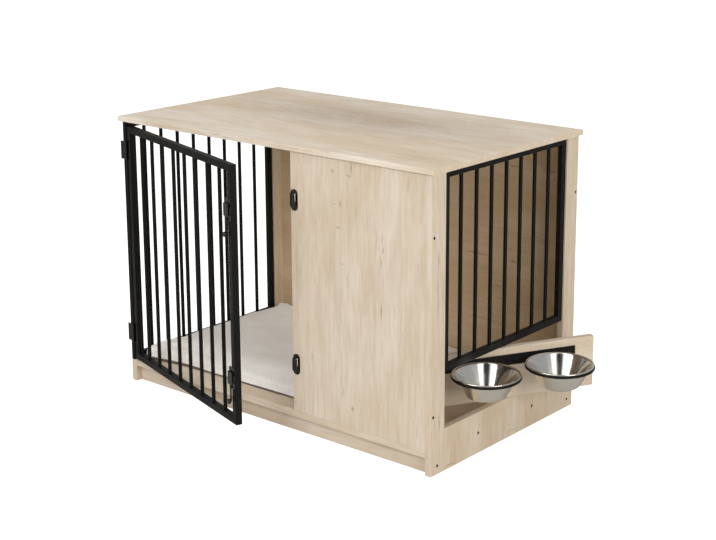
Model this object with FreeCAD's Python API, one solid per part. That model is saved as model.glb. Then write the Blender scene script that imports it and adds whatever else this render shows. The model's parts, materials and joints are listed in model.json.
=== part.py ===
import FreeCAD, Part
import math
import os

# An end table that is also a dog crate: oak-effect boards, black steel bar grilles in both sides,
# a swinging bar door with two slide latches, and a two-bowl feeder board that turns in the right side.
# It is drawn in millimetres in the carcass frame: X from the outer face of the left side, Y from the
# front face to the back, Z up from the floor. At the end everything moves so that the origin is the
# middle of the front kick board's underside. The door and the feeder are set at their shown angles.

# Carcass boards
body_width = 900.0
body_depth = 525.0
body_height = 640.0
board_thickness = 15.0
top_thickness = 12.0
top_side_overhang = 9.0
top_front_overhang = 6.0
top_back_overhang = 3.0
board_edge_radius = 0.8
floor_gap = 38.0
post_width = 45.0
sill_height = 92.0
front_panel_width = 360.0
kick_setback = 14.0

# Steel frames and their bars
tube_face = 15.0
grille_tube_depth = 12.0
door_tube_depth = 15.0
tube_wall = 1.2
tube_corner_radius = 1.2
bar_radius = 4.2
frame_fit_gap = 0.5
left_bar_count = 8
right_bar_count = 7
door_bar_count = 8
right_grille_bottom = 211.0
right_grille_recess = 3.0

# Door, hung outside the left grille's front stile
door_open_angle = 17.2
door_side_gap = 2.0
door_latch_gap = 4.5
door_bottom_gap = 4.0
door_top_gap = 10.0

# Hinges
hinge_height = 42.0
hinge_top_offset = 67.5
hinge_bottom_offset = 68.0
hinge_leaf_thickness = 1.5
hinge_overlap_left = 7.0
knuckle_radius = 3.5
knuckle_face_gap = 0.4
knuckle_clearance = 0.3
hinge_pin_radius = 1.75
hinge_pin_fit = 0.05
hinge_pin_cap_radius = 3.0
hinge_pin_cap_height = 1.6
hinge_screw_spread = 26.0
hinge_screw_inset = 4.0

# Latches on the door and their keepers on the front panel
upper_latch_drop = 105.0
lower_latch_rise = 107.0
latch_plate_width = 24.0
latch_plate_height = 47.0
latch_plate_thickness = 1.2
latch_plate_inset = 0.5
latch_housing_width = 20.0
latch_housing_height = 28.0
latch_housing_depth = 6.5
latch_housing_wall = 1.2
latch_edge_radius = 1.0
latch_corner_radius = 3.0
latch_bolt_thickness = 2.5
latch_bolt_height = 16.0
latch_bolt_gap = 0.15
latch_stem_width = 4.0
latch_stem_setback = 7.5
latch_knob_drop = 52.0
latch_knob_radius = 5.5
latch_knob_depth = 6.5
latch_knob_rounding = 1.6
latch_screw_spread = 37.0
keeper_width = 19.5
keeper_end_radius = 9.5
keeper_height = 46.5
keeper_plate_thickness = 1.0
keeper_hump_width = 14.0
keeper_hump_height = 28.0
keeper_hump_wall = 1.2
keeper_pocket_depth = 5.0
keeper_slot_width = 4.5
keeper_slot_height = 18.0
keeper_offset = 0.5

# Feeder board, its pivots and the bowl holder
feeder_open_angle = 29.0
feeder_length = 426.0
feeder_height = 113.0
feeder_clearance = 3.0
pivot_pin_radius = 3.0
pivot_pin_fit = 0.05
pivot_pin_reach = 18.0
pivot_pin_seat = 22.0
pivot_collar_radius = 6.0
pivot_collar_gap = 0.3
pivot_upper_collar = 2.0
pivot_rail_hold = 12.0
bush_radius = 5.0
bush_length = 20.0
bush_floor_gap = 1.0
holder_strip_length = 332.0
holder_strip_height = 23.5
holder_strip_thickness = 3.0
holder_strip_drop = 16.0
holder_screw_inset = 16.0
holder_screw_middle = 24.0
ring_wire_radius = 2.8
ring_clearance = 0.4
ring_seat_gap = 0.3
ring_tab_width = 20.0
ring_tab_thickness = 4.0

# Bowls
bowl_spacing = 170.0
bowl_offset = 93.0
bowl_rim_level = 189.9
bowl_rim_radius = 72.5
bowl_mouth_radius = 67.8
bowl_base_radius = 41.0
bowl_depth = 50.0
bowl_wall = 0.9
bowl_base_curve = 14.0
bowl_rim_bead = 1.6

# Pad: its outline on the floor of the crate, front edge a little askew as it lies. Its side rises in
# steps, each a share of the shoulder height and a share of the draw that pulls the side in.
pad_left_gap = 4.0
pad_length = 600.0
pad_back_gap = 7.0
pad_front_left = 30.0
pad_front_right = 43.0
pad_corner_radius = 18.0
pad_lift_gap = 0.3
pad_shoulder_height = 35.0
pad_crown_height = 41.0
pad_side_draw = 6.0
pad_crown_inset = 80.0
pad_side_steps = [(0.0, 1.0), (0.2, 0.25), (0.5, 0.0), (0.8, 0.3), (1.0, 1.4)]

# Fasteners: radii and lengths by kind; the drive recess is cut in each head, sized by shares of it
board_screw = {"head": 3.25, "shank": 2.2, "length": 48.0, "drive": "hex", "style": "flush"}
small_screw = {"head": 2.4, "shank": 1.3, "length": 9.0, "drive": "cross", "style": "flush"}
frame_screw = {"head": 3.6, "shank": 1.9, "length": 35.0, "drive": "cross", "style": "pan"}
rail_screw = {"head": 3.6, "shank": 1.9, "length": 23.0, "drive": "cross", "style": "pan"}
strip_screw = {"head": 3.4, "shank": 1.6, "length": 13.0, "drive": "cross", "style": "pan"}
drive_depth = 1.2
drive_reach_share = 0.62
drive_slot_share = 0.14
pan_head_height = 1.8
side_screw_low = 74.0
side_screw_high = 128.0
bottom_screw_front = 162.5
bottom_screw_spacing = 200.0
floor_screw_inset = 75.0
back_screw_inset = 135.0

# Cam fittings that draw the top down onto the boards' edges
cam_radius = 7.5
cam_depth = 12.0
cam_drop = 25.0
cam_bolt_radius = 3.0
cam_thread_radius = 2.3
cam_thread_length = 9.0
cam_side_inset = 30.0
cam_drive = {"head": 3.6, "drive": "cross", "style": "flush"}

# How far a cutting shape runs on past what it cuts, and how a grille's rail screws clear the bars
cut_margin = 1.0
level_match = 0.01
bays_to_rail_screw = 2.5

nodes = {}


def vector(x, y, z):
    return FreeCAD.Vector(x, y, z)


def block(x_span, y_span, z_span):
    size = [span[1] - span[0] for span in (x_span, y_span, z_span)]
    return Part.makeBox(*size, vector(x_span[0], y_span[0], z_span[0]))


def cylinder(radius, start, end):
    axis = end.sub(start)
    return Part.makeCylinder(radius, axis.Length, start, axis)


def polygon_prism(points, depth):
    face = Part.Face(Part.makePolygon(points + [points[0]]))
    return face.extrude(depth)


def rounded(shape, radius, keep=lambda edge: True):
    edges = [edge for edge in shape.Edges if keep(edge)]
    return shape.makeFillet(radius, edges)


def runs_along(axis):
    """A test for straight edges that lie along an axis."""
    def test(edge):
        direction = edge.lastVertex().Point.sub(edge.firstVertex().Point)
        return direction.Length > 0 and abs(direction.dot(axis)) > 0.999 * direction.Length
    return test


def lies_at(level):
    """A test for edges that lie flat at one height."""
    def test(edge):
        box = edge.BoundBox
        return abs(box.ZMin - level) < level_match and abs(box.ZMax - level) < level_match
    return test


def group(shapes):
    return Part.makeCompound(list(shapes))


def turned(shape, pivot, angle):
    copy = shape.copy()
    copy.rotate(pivot, vector(0, 0, 1), angle)
    return copy


# Fasteners ---------------------------------------------------------------------------------------

def screw_body(kind):
    """A plain screw with its head's outer face at the origin, or its seat there if it is a pan head."""
    down = vector(0, 0, -1)
    shank = Part.makeCylinder(kind["shank"], kind["length"], vector(0, 0, 0), down)
    if kind["style"] == "flush":
        depth = kind["head"] - kind["shank"]
        return shank.fuse(Part.makeCone(kind["head"], kind["shank"], depth, vector(0, 0, 0), down))
    head = Part.makeCylinder(kind["head"], pan_head_height)
    return shank.fuse(rounded(head, pan_head_height / 2, lies_at(pan_head_height)))


def drive_recess(kind):
    top = pan_head_height if kind["style"] == "pan" else 0.0
    reach = drive_reach_share * kind["head"]
    if kind["drive"] == "hex":
        corners = [
            vector(reach * math.cos(math.radians(60 * i)), reach * math.sin(math.radians(60 * i)), top)
            for i in range(6)
        ]
        return polygon_prism(corners, vector(0, 0, -drive_depth))
    half_slot = drive_slot_share * kind["head"]
    low = top - drive_depth
    wide = block((-reach, reach), (-half_slot, half_slot), (low, top))
    tall = block((-half_slot, half_slot), (-reach, reach), (low, top))
    return wide.fuse(tall)


def placed(shape, seat):
    point, outward = seat
    copy = shape.copy()
    copy.Placement = FreeCAD.Placement(point, FreeCAD.Rotation(vector(0, 0, 1), outward))
    return copy


def screws(kind, seats):
    """The finished screws of a group, and the plain bodies that drill their holes."""
    body = screw_body(kind)
    finished = body.cut(drive_recess(kind))
    return group(placed(finished, s) for s in seats), group(placed(body, s) for s in seats)


# Carcass -----------------------------------------------------------------------------------------

under_top = body_height - top_thickness
floor_top = floor_gap + board_thickness
inner_left = board_thickness
inner_right = body_width - board_thickness
back_face = body_depth - board_thickness
front_panel_left = inner_right - front_panel_width
window_front = post_width
window_back = body_depth - post_width


def board(x_span, y_span, z_span):
    return rounded(block(x_span, y_span, z_span), board_edge_radius)


def side_outline(points, x_left):
    corners = [vector(x_left, y, z) for y, z in points]
    return rounded(polygon_prism(corners, vector(board_thickness, 0, 0)), board_edge_radius)


def left_side():
    """A foot board with the rear post standing on its back end, cut from one panel."""
    return side_outline([
        (0, 0), (body_depth, 0), (body_depth, under_top),
        (window_back, under_top), (window_back, floor_top), (0, floor_top),
    ], 0)


def right_side():
    """Two posts on a high sill, open at the top between the posts, cut from one panel."""
    return side_outline([
        (0, 0), (body_depth, 0), (body_depth, under_top), (window_back, under_top),
        (window_back, sill_height), (window_front, sill_height),
        (window_front, under_top), (0, under_top),
    ], inner_right)


def kick_board(y_front):
    return board((inner_left, inner_right), (y_front, y_front + board_thickness), (0, floor_gap))


inner_width = (inner_left, inner_right)
nodes["top_panel"] = board(
    (-top_side_overhang, body_width + top_side_overhang),
    (-top_front_overhang, body_depth + top_back_overhang),
    (under_top, body_height),
)
nodes["left_side_panel"] = left_side()
nodes["right_side_panel"] = right_side()
nodes["bottom_panel"] = board(inner_width, (0, body_depth), (floor_gap, floor_top))
nodes["front_panel"] = board(
    (front_panel_left, inner_right), (0, board_thickness), (floor_top, under_top))
nodes["back_panel"] = board(inner_width, (back_face, body_depth), (floor_top, under_top))
nodes["front_kick_board"] = kick_board(kick_setback)
nodes["rear_kick_board"] = kick_board(body_depth - kick_setback - board_thickness)


# Bar frames --------------------------------------------------------------------------------------

def mitred_tube(outline, inner_outline, depth, along):
    """One hollow tube of a frame, cut at 45 degrees at both ends, from its outlines in the XZ plane."""
    outer = polygon_prism([vector(x, 0, z) for x, z in outline], vector(0, depth, 0))
    outer = rounded(outer, tube_corner_radius, runs_along(along))
    hollow = polygon_prism(
        [vector(x, tube_wall, z) for x, z in inner_outline], vector(0, depth - 2 * tube_wall, 0))
    return outer.cut(hollow)


def tube_frame(length, height, depth):
    """The four mitred tubes of a frame in the XZ plane, its outer corner at the origin, depth along Y."""
    def corners(inset):
        return [(inset, inset), (length - inset, inset),
                (length - inset, height - inset), (inset, height - inset)]

    outer, inner = corners(0), corners(tube_face)
    hollow_outer, hollow_inner = corners(tube_wall), corners(tube_face - tube_wall)
    tubes = {}
    names = ["bottom_rail", "rear_stile", "top_rail", "front_stile"]
    for i, name in enumerate(names):
        j = (i + 1) % 4
        along = vector(0, 0, 1) if name.endswith("stile") else vector(1, 0, 0)
        tubes[name] = mitred_tube(
            [outer[i], outer[j], inner[j], inner[i]],
            [hollow_outer[i], hollow_outer[j], hollow_inner[j], hollow_inner[i]], depth, along)
    return tubes


def frame_bars(length, height, depth, count):
    """Upright rods that butt on the two rails, evenly spaced between the stiles' centres."""
    pitch = (length - tube_face) / (count + 1)
    places = [tube_face / 2 + pitch * (i + 1) for i in range(count)]
    middle = depth / 2
    return group(
        cylinder(bar_radius, vector(x, middle, tube_face), vector(x, middle, height - tube_face))
        for x in places
    )


def between_bars(start, length, count):
    """Two places along a rail, each midway between the second and third bar from an end."""
    inset = tube_face / 2 + bays_to_rail_screw * (length - tube_face) / (count + 1)
    return [start + inset, start + length - inset]


def side_grille(name, x_left, y_front, length, z_bottom, bar_count):
    """A grille in a side: the frame is drawn facing front, then turned so that its length is along Y."""
    height = under_top - z_bottom
    parts = tube_frame(length, height, grille_tube_depth)
    parts["bars"] = frame_bars(length, height, grille_tube_depth, bar_count)
    for part_name, shape in parts.items():
        upright = turned(shape, vector(0, 0, 0), 90)
        upright.translate(vector(x_left + grille_tube_depth, y_front, z_bottom))
        nodes[name + "_" + part_name] = upright


left_grille_length = window_back - frame_fit_gap
right_grille_x = body_width - right_grille_recess - grille_tube_depth
right_grille_front = window_front + frame_fit_gap
right_grille_length = window_back - frame_fit_gap - right_grille_front
side_grille("left_grille", 0, 0, left_grille_length, floor_top, left_bar_count)
side_grille("right_grille", right_grille_x, right_grille_front, right_grille_length,
            right_grille_bottom, right_bar_count)

door_left = grille_tube_depth + door_side_gap
door_right = front_panel_left - door_latch_gap
door_bottom = floor_top + door_bottom_gap
door_top = under_top - door_top_gap
door_length = door_right - door_left
door_parts = tube_frame(door_length, door_top - door_bottom, door_tube_depth)
door_parts["bars"] = frame_bars(
    door_length, door_top - door_bottom, door_tube_depth, door_bar_count)
door_names = {"front_stile": "hinge_stile", "rear_stile": "latch_stile"}
for part_name, shape in door_parts.items():
    shape.translate(vector(door_left, 0, door_bottom))
    nodes["door_" + door_names.get(part_name, part_name)] = shape


# Hinges ------------------------------------------------------------------------------------------

pin_x = grille_tube_depth + door_side_gap / 2
pin_y = -(knuckle_radius + knuckle_face_gap)
hinge_levels = {
    "upper": under_top - hinge_top_offset,
    "lower": floor_top + hinge_bottom_offset,
}


def pin_axis(z):
    return vector(pin_x, pin_y, z)


def leaf(x_span, z_low, own_spans, other_spans, bore_radius):
    """A flat leaf with its knuckles rolled round the pin, cleared round the other leaf's knuckles."""
    plate = block(x_span, (-hinge_leaf_thickness, 0), (z_low, z_low + hinge_height))
    for low, high in other_spans:
        around = cylinder(knuckle_radius + knuckle_clearance, pin_axis(low), pin_axis(high))
        plate = plate.cut(around)
    for low, high in own_spans:
        plate = plate.fuse(cylinder(knuckle_radius, pin_axis(low), pin_axis(high)))
    bore = cylinder(bore_radius, pin_axis(z_low), pin_axis(z_low + hinge_height))
    return plate.cut(bore).removeSplitter()


def hinge(level):
    z_low = level - hinge_height / 2
    z_high = z_low + hinge_height
    third = hinge_height / 3
    middle = (z_low + third + knuckle_clearance, z_high - third - knuckle_clearance)
    cleared_middle = (z_low + third, z_high - third)
    ends = [(z_low, z_low + third), (z_high - third, z_high)]
    cleared_ends = [(z_low - cut_margin, middle[0]), (middle[1], z_high + cut_margin)]
    fixed = leaf((-hinge_overlap_left, pin_x), z_low, ends, [cleared_middle], hinge_pin_radius)
    moving = leaf((pin_x, door_left + tube_face), z_low, [middle], cleared_ends,
                  hinge_pin_radius + hinge_pin_fit)
    pin = cylinder(hinge_pin_radius, pin_axis(z_low), pin_axis(z_high))
    for z_face, step in ((z_high, 1), (z_low, -1)):
        cap_face = z_face + step * hinge_pin_cap_height
        cap = cylinder(hinge_pin_cap_radius, pin_axis(z_face), pin_axis(cap_face))
        pin = pin.fuse(rounded(cap, hinge_pin_cap_height / 2, lies_at(cap_face)))
    return fixed, moving, pin


outwards = vector(0, -1, 0)
door_screw_x = door_left + tube_face / 2
hinge_pins = []
fixed_leaf_seats = []
door_leaf_seats = []
for where, level in hinge_levels.items():
    fixed, moving, pin = hinge(level)
    nodes[where + "_hinge_fixed_leaf"] = fixed
    nodes[where + "_hinge_door_leaf"] = moving
    hinge_pins.append(pin)
    for side in (-1, 1):
        z = level + side * hinge_screw_spread / 2
        fixed_leaf_seats.append((vector(hinge_screw_inset, -hinge_leaf_thickness, z), outwards))
        door_leaf_seats.append((vector(door_screw_x, -hinge_leaf_thickness, z), outwards))
nodes["hinge_pins"] = group(hinge_pins)


# Latches and keepers -----------------------------------------------------------------------------

latch_levels = {"upper": under_top - upper_latch_drop, "lower": floor_top + lower_latch_rise}
latch_right = door_right - latch_plate_inset
latch_left = latch_right - latch_plate_width
housing_left = latch_left + (latch_plate_width - latch_housing_width) / 2
housing_right = housing_left + latch_housing_width
bolt_back = -(latch_plate_thickness + latch_bolt_gap)
bolt_front = bolt_back - latch_bolt_thickness
bolt_tip = door_right
stem_left = housing_left + latch_housing_wall + latch_stem_setback - latch_stem_width
latch_screw_x = door_right - tube_face / 2
along_x = vector(1, 0, 0)
along_y = vector(0, 1, 0)


def rounded_plate(x_span, z_span, y_back, thickness, radius):
    """A flat plate on a front face, with its four corners rounded as seen from the front."""
    plate = block(x_span, (y_back - thickness, y_back), z_span)
    return rounded(plate, radius, runs_along(along_y))


def latch_housing(level):
    half_plate = latch_plate_height / 2
    half_height = latch_housing_height / 2
    plate = rounded_plate((latch_left, latch_right), (level - half_plate, level + half_plate),
                          0, latch_plate_thickness, latch_corner_radius)
    hump = block((housing_left, housing_right), (-latch_housing_depth, 0),
                 (level - half_height, level + half_height))
    hump = rounded(hump, latch_edge_radius, lambda edge: edge.BoundBox.YMin < -latch_housing_depth / 2)
    inside = block(
        (housing_left + latch_housing_wall, housing_right + cut_margin),
        (-latch_housing_depth + latch_housing_wall, -latch_plate_thickness),
        (level - half_height - cut_margin, level + half_height - latch_housing_wall),
    )
    return plate.fuse(hump).cut(inside).removeSplitter()


def latch_bolt(level):
    """The flat tongue, with the stem that hangs from it to the knob."""
    half = latch_bolt_height / 2
    tongue = block((housing_left + latch_housing_wall + latch_bolt_gap, bolt_tip),
                   (bolt_front, bolt_back), (level - half, level + half))
    tongue = rounded(tongue, latch_bolt_thickness, lambda edge: runs_along(along_y)(edge)
                     and edge.BoundBox.XMin > bolt_tip - latch_bolt_thickness)
    stem = block((stem_left, stem_left + latch_stem_width), (bolt_front, bolt_back),
                 (level - latch_knob_drop, level))
    return tongue.fuse(stem).removeSplitter()


def latch_knob(level):
    """A round knob on the front of the stem's lower end."""
    centre_x = stem_left + latch_stem_width / 2
    z = level - latch_knob_drop
    knob = cylinder(latch_knob_radius, vector(centre_x, bolt_front, z),
                    vector(centre_x, bolt_front - latch_knob_depth, z))
    return rounded(knob, latch_knob_rounding, lambda edge: edge.Curve.TypeId == "Part::GeomCircle")


keeper_left = front_panel_left + keeper_offset
keeper_middle = keeper_left + keeper_width / 2
keeper_front = -(keeper_plate_thickness + keeper_pocket_depth + keeper_hump_wall)


def keeper(level):
    """A plate with round ends and a raised loop: open towards the door, with a slot in its front."""
    half_plate = keeper_height / 2
    half_hump = keeper_hump_height / 2
    half_slot = keeper_slot_width / 2
    hump_left = keeper_middle - keeper_hump_width / 2
    hump_right = keeper_middle + keeper_hump_width / 2
    plate = rounded_plate((keeper_left, keeper_left + keeper_width),
                          (level - half_plate, level + half_plate),
                          0, keeper_plate_thickness, keeper_end_radius)
    hump = block((hump_left, hump_right), (keeper_front, 0), (level - half_hump, level + half_hump))
    hump = rounded(hump, latch_edge_radius, lambda edge: edge.BoundBox.YMin < keeper_front / 2)
    pocket = block(
        (hump_left - cut_margin, hump_right - keeper_hump_wall),
        (keeper_front + keeper_hump_wall, -keeper_plate_thickness),
        (level - half_hump + keeper_hump_wall, level + half_hump - keeper_hump_wall),
    )
    slot = block(
        (keeper_middle - half_slot, keeper_middle + half_slot),
        (keeper_front - cut_margin, -keeper_plate_thickness),
        (level - keeper_slot_height / 2, level + keeper_slot_height / 2),
    )
    return plate.fuse(hump).cut([pocket, slot]).removeSplitter()


latch_seats = []
keeper_seats = []
for where, level in latch_levels.items():
    nodes[where + "_latch_housing"] = latch_housing(level)
    nodes[where + "_latch_bolt"] = latch_bolt(level)
    nodes[where + "_latch_knob"] = latch_knob(level)
    nodes[where + "_keeper"] = keeper(level)
    for side in (-1, 1):
        z = level + side * latch_screw_spread / 2
        latch_seats.append((vector(latch_screw_x, -latch_plate_thickness, z), outwards))
        keeper_seats.append((vector(keeper_middle, -keeper_plate_thickness, z), outwards))


# Feeder ------------------------------------------------------------------------------------------
# Drawn with the board closed: along Y, its outer face towards +X, turning about the upright pivot.

pivot_x = body_width - board_thickness / 2
pivot_y = (window_front + window_back) / 2
feeder_bottom = sill_height + feeder_clearance
feeder_top = feeder_bottom + feeder_height
feeder_face = pivot_x + board_thickness / 2
strip_top = feeder_top - holder_strip_drop
strip_bottom = strip_top - holder_strip_height
strip_face = feeder_face + holder_strip_thickness
strip_front = pivot_y - holder_strip_length / 2
strip_back = pivot_y + holder_strip_length / 2
bowl_x = pivot_x + bowl_offset
bowl_places = {"front": pivot_y - bowl_spacing / 2, "rear": pivot_y + bowl_spacing / 2}


def pivot_axis(z):
    return vector(pivot_x, pivot_y, z)


def upper_pivot_pin():
    """A headed pin held in the grille's bottom rail, with a collar under the rail."""
    pin = cylinder(pivot_pin_radius, pivot_axis(feeder_top - pivot_pin_reach),
                   pivot_axis(right_grille_bottom + pivot_rail_hold))
    collar = cylinder(pivot_collar_radius, pivot_axis(right_grille_bottom - pivot_upper_collar),
                      pivot_axis(right_grille_bottom))
    return pin.fuse(collar).removeSplitter()


def lower_pivot_pin():
    """A pin let into the sill, with the collar that carries the board."""
    pin = cylinder(pivot_pin_radius, pivot_axis(sill_height - pivot_pin_seat),
                   pivot_axis(feeder_bottom + pivot_pin_reach))
    collar = cylinder(pivot_collar_radius, pivot_axis(sill_height),
                      pivot_axis(feeder_bottom - pivot_collar_gap))
    return pin.fuse(collar).removeSplitter()


def bush_spans():
    return [(feeder_bottom, feeder_bottom + bush_length), (feeder_top - bush_length, feeder_top)]


def bush(low, high):
    outer = cylinder(bush_radius, pivot_axis(low), pivot_axis(high))
    return outer.cut(cylinder(pivot_pin_radius + pivot_pin_fit, pivot_axis(low), pivot_axis(high)))


def holder_strip():
    strip = block((feeder_face, strip_face), (strip_front, strip_back), (strip_bottom, strip_top))
    return rounded(strip, board_edge_radius, runs_along(along_y))


rim_underside = bowl_rim_level - 2 * bowl_rim_bead
ring_radius = bowl_mouth_radius + ring_clearance + ring_wire_radius
ring_level = rim_underside - ring_seat_gap - ring_wire_radius


def bowl_ring(y):
    """A wire ring under the bowl's rim, with the tab that joins it to the strip."""
    ring = Part.makeTorus(ring_radius, ring_wire_radius, vector(bowl_x, y, ring_level), vector(0, 0, 1))
    tab = block((strip_face, bowl_x - ring_radius), (y - ring_tab_width / 2, y + ring_tab_width / 2),
                (ring_level - ring_tab_thickness / 2, ring_level + ring_tab_thickness / 2))
    return ring.fuse(tab).removeSplitter()


def bowl_profile(inset):
    """Half of the bowl's outline, drawn in by the wall: base, curve up the side, and the mouth."""
    base_z = bowl_rim_level - bowl_depth + inset
    mouth = vector(bowl_mouth_radius - inset, 0, bowl_rim_level - bowl_rim_bead)
    corner = vector(bowl_base_radius - inset, 0, base_z)
    wall = mouth.sub(corner)
    wall.normalize()
    curve = bowl_base_curve - inset
    turn = math.acos(wall.dot(vector(1, 0, 0)))
    run = curve * math.tan(turn / 2)
    start = corner.sub(vector(run, 0, 0))
    end = corner.add(wall * run)
    inward = vector(-math.sin(turn / 2), 0, math.cos(turn / 2))
    middle = corner.add(inward * (curve / math.cos(turn / 2) - curve))
    return start, middle, end, mouth, base_z


def bowl_solid(inset, top):
    start, middle, end, mouth, base_z = bowl_profile(inset)
    above = vector(mouth.x, 0, top)
    edges = [
        Part.makeLine(vector(0, 0, base_z), start),
        Part.Arc(start, middle, end).toShape(),
        Part.makeLine(end, mouth),
        Part.makeLine(mouth, above),
        Part.makeLine(above, vector(0, 0, top)),
        Part.makeLine(vector(0, 0, top), vector(0, 0, base_z)),
    ]
    return Part.Face(Part.Wire(edges)).revolve(vector(0, 0, 0), vector(0, 0, 1), 360)


def bowl(y):
    """A thin tapered bowl with a flat base and a rolled rim."""
    lip = bowl_rim_level - bowl_rim_bead
    outer = bowl_solid(0, lip + bowl_wall)
    bead_radius = bowl_rim_radius - bowl_rim_bead
    bead = Part.makeTorus(bead_radius, bowl_rim_bead, vector(0, 0, lip), vector(0, 0, 1))
    flange = Part.makeCylinder(bead_radius, bowl_wall, vector(0, 0, lip))
    whole = outer.fuse([bead, flange]).cut(bowl_solid(bowl_wall, bowl_rim_level + cut_margin))
    whole = whole.removeSplitter()
    whole.translate(vector(bowl_x, y, 0))
    return whole


strip_screw_places = [
    strip_front + holder_screw_inset, pivot_y - holder_screw_middle,
    pivot_y + holder_screw_middle, strip_back - holder_screw_inset,
]
strip_middle = (strip_bottom + strip_top) / 2
strip_seats = [(vector(strip_face, y, strip_middle), along_x) for y in strip_screw_places]

feeder_nodes = {}
feeder = board((pivot_x - board_thickness / 2, feeder_face),
               (pivot_y - feeder_length / 2, pivot_y + feeder_length / 2), (feeder_bottom, feeder_top))
for low, high in bush_spans():
    deep = bush_floor_gap if low == feeder_bottom else 0
    more = bush_floor_gap if high == feeder_top else 0
    feeder = feeder.cut(cylinder(bush_radius, pivot_axis(low - more), pivot_axis(high + deep)))
feeder_nodes["feeder_board"] = feeder
feeder_nodes["feeder_bushes"] = group(bush(low, high) for low, high in bush_spans())
feeder_nodes["bowl_holder_strip"] = holder_strip()
feeder_nodes["holder_screws"], holes = screws(strip_screw, strip_seats)
for name in ("feeder_board", "bowl_holder_strip"):
    feeder_nodes[name] = feeder_nodes[name].cut(holes)
for where, y in bowl_places.items():
    feeder_nodes[where + "_bowl_ring"] = bowl_ring(y)
    feeder_nodes[where + "_bowl"] = bowl(y)
nodes["feeder_upper_pin"] = upper_pivot_pin()
nodes["feeder_lower_pin"] = lower_pivot_pin()
pins = group([nodes["feeder_upper_pin"], nodes["feeder_lower_pin"]])
nodes["right_side_panel"] = nodes["right_side_panel"].cut(pins)
nodes["right_grille_bottom_rail"] = nodes["right_grille_bottom_rail"].cut(pins)


# Pad ---------------------------------------------------------------------------------------------

pad_left = inner_left + pad_left_gap
pad_right = pad_left + pad_length
pad_back = back_face - pad_back_gap
pad_floor = floor_top + pad_lift_gap


def pad_section(inset, z):
    """The pad's outline at one height: four sides and four round corners, drawn in by an inset."""
    left, right, back = pad_left + inset, pad_right - inset, pad_back - inset
    front_left, front_right = pad_front_left + inset, pad_front_right + inset
    lean = math.atan2(front_right - front_left, right - left)
    corners = [
        (vector(left, front_left, z), math.radians(270), lean),
        (vector(right, front_right, z), lean, math.radians(90)),
        (vector(right, back, z), math.radians(90), math.radians(180)),
        (vector(left, back, z), math.radians(180), math.radians(270)),
    ]
    arcs = []
    for corner, arriving, leaving in corners:
        turn = (leaving - arriving) % (2 * math.pi)
        run = pad_corner_radius * math.tan(turn / 2)
        start = corner.sub(vector(math.cos(arriving), math.sin(arriving), 0) * run)
        end = corner.add(vector(math.cos(leaving), math.sin(leaving), 0) * run)
        inward = (arriving + leaving + (2 * math.pi if leaving < arriving else 0)) / 2 + math.pi / 2
        reach = pad_corner_radius * (1 / math.cos(turn / 2) - 1)
        middle = corner.add(vector(math.cos(inward), math.sin(inward), 0) * reach)
        arcs.append((start, middle, end))
    edges = []
    for i, (start, middle, end) in enumerate(arcs):
        edges.append(Part.Arc(start, middle, end).toShape())
        edges.append(Part.makeLine(end, arcs[(i + 1) % 4][0]))
    return Part.Wire(edges)


def pad():
    """A stuffed mat: sides drawn in at the floor, fullest at mid height, then a low crown."""
    sections = [
        pad_section(pad_side_draw * draw, pad_floor + pad_shoulder_height * rise)
        for rise, draw in pad_side_steps
    ]
    sections.append(pad_section(pad_crown_inset, pad_floor + pad_crown_height))
    return Part.makeLoft(sections, True, True)


nodes["pad"] = pad()


# Fasteners in the carcass and frames -------------------------------------------------------------

left, right, front, up, down = (
    vector(-1, 0, 0), vector(1, 0, 0), vector(0, -1, 0), vector(0, 0, 1), vector(0, 0, -1))
board_middle = board_thickness / 2
kick_level = floor_gap / 2
bottom_level = floor_gap + board_thickness / 2
high_screw = under_top - side_screw_high
low_screw = floor_top + side_screw_low
bottom_places = [bottom_screw_front, bottom_screw_front + bottom_screw_spacing]
kick_places = [kick_setback + board_middle, body_depth - kick_setback - board_middle]
back_middle = back_face + board_middle

low_places = [(y, kick_level) for y in kick_places] + [(y, bottom_level) for y in bottom_places]
back_places = [(back_middle, low_screw), (back_middle, high_screw)]
front_places = [(board_middle, low_screw), (board_middle, high_screw)]
left_seats = [(vector(0, y, z), left) for y, z in low_places + back_places]
right_seats = [(vector(body_width, y, z), right) for y, z in low_places + back_places + front_places]
front_floor = [front_panel_left + floor_screw_inset, inner_right - floor_screw_inset]
back_floor = [inner_left + back_screw_inset, body_width / 2, inner_right - back_screw_inset]
floor_seats = [(vector(x, board_middle, floor_gap), down) for x in front_floor]
floor_seats += [(vector(x, back_middle, floor_gap), down) for x in back_floor]

grille_middle = grille_tube_depth / 2
right_middle = right_grille_x + grille_middle
left_between_bars = between_bars(0, left_grille_length, left_bar_count)
left_rail_top = floor_top + tube_face
left_rear_inner = left_grille_length - tube_face
down_seats = [(vector(grille_middle, y, left_rail_top), up) for y in left_between_bars]
across_seats = [(vector(grille_middle, left_rear_inner, z), front) for z in (low_screw, high_screw)]
right_front_inner = right_grille_front + tube_face
right_rear_inner = right_grille_front + right_grille_length - tube_face
right_low_screw = right_grille_bottom + side_screw_low
right_grille_seats = [
    seat for z in (right_low_screw, high_screw) for seat in (
        (vector(right_middle, right_front_inner, z), along_y),
        (vector(right_middle, right_rear_inner, z), front))
]
rail_underside = under_top - tube_face
rail_seats = [(vector(grille_middle, y, rail_underside), down) for y in left_between_bars]
rail_seats += [
    (vector(right_middle, y, rail_underside), down)
    for y in between_bars(right_grille_front, right_grille_length, right_bar_count)
]

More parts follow.
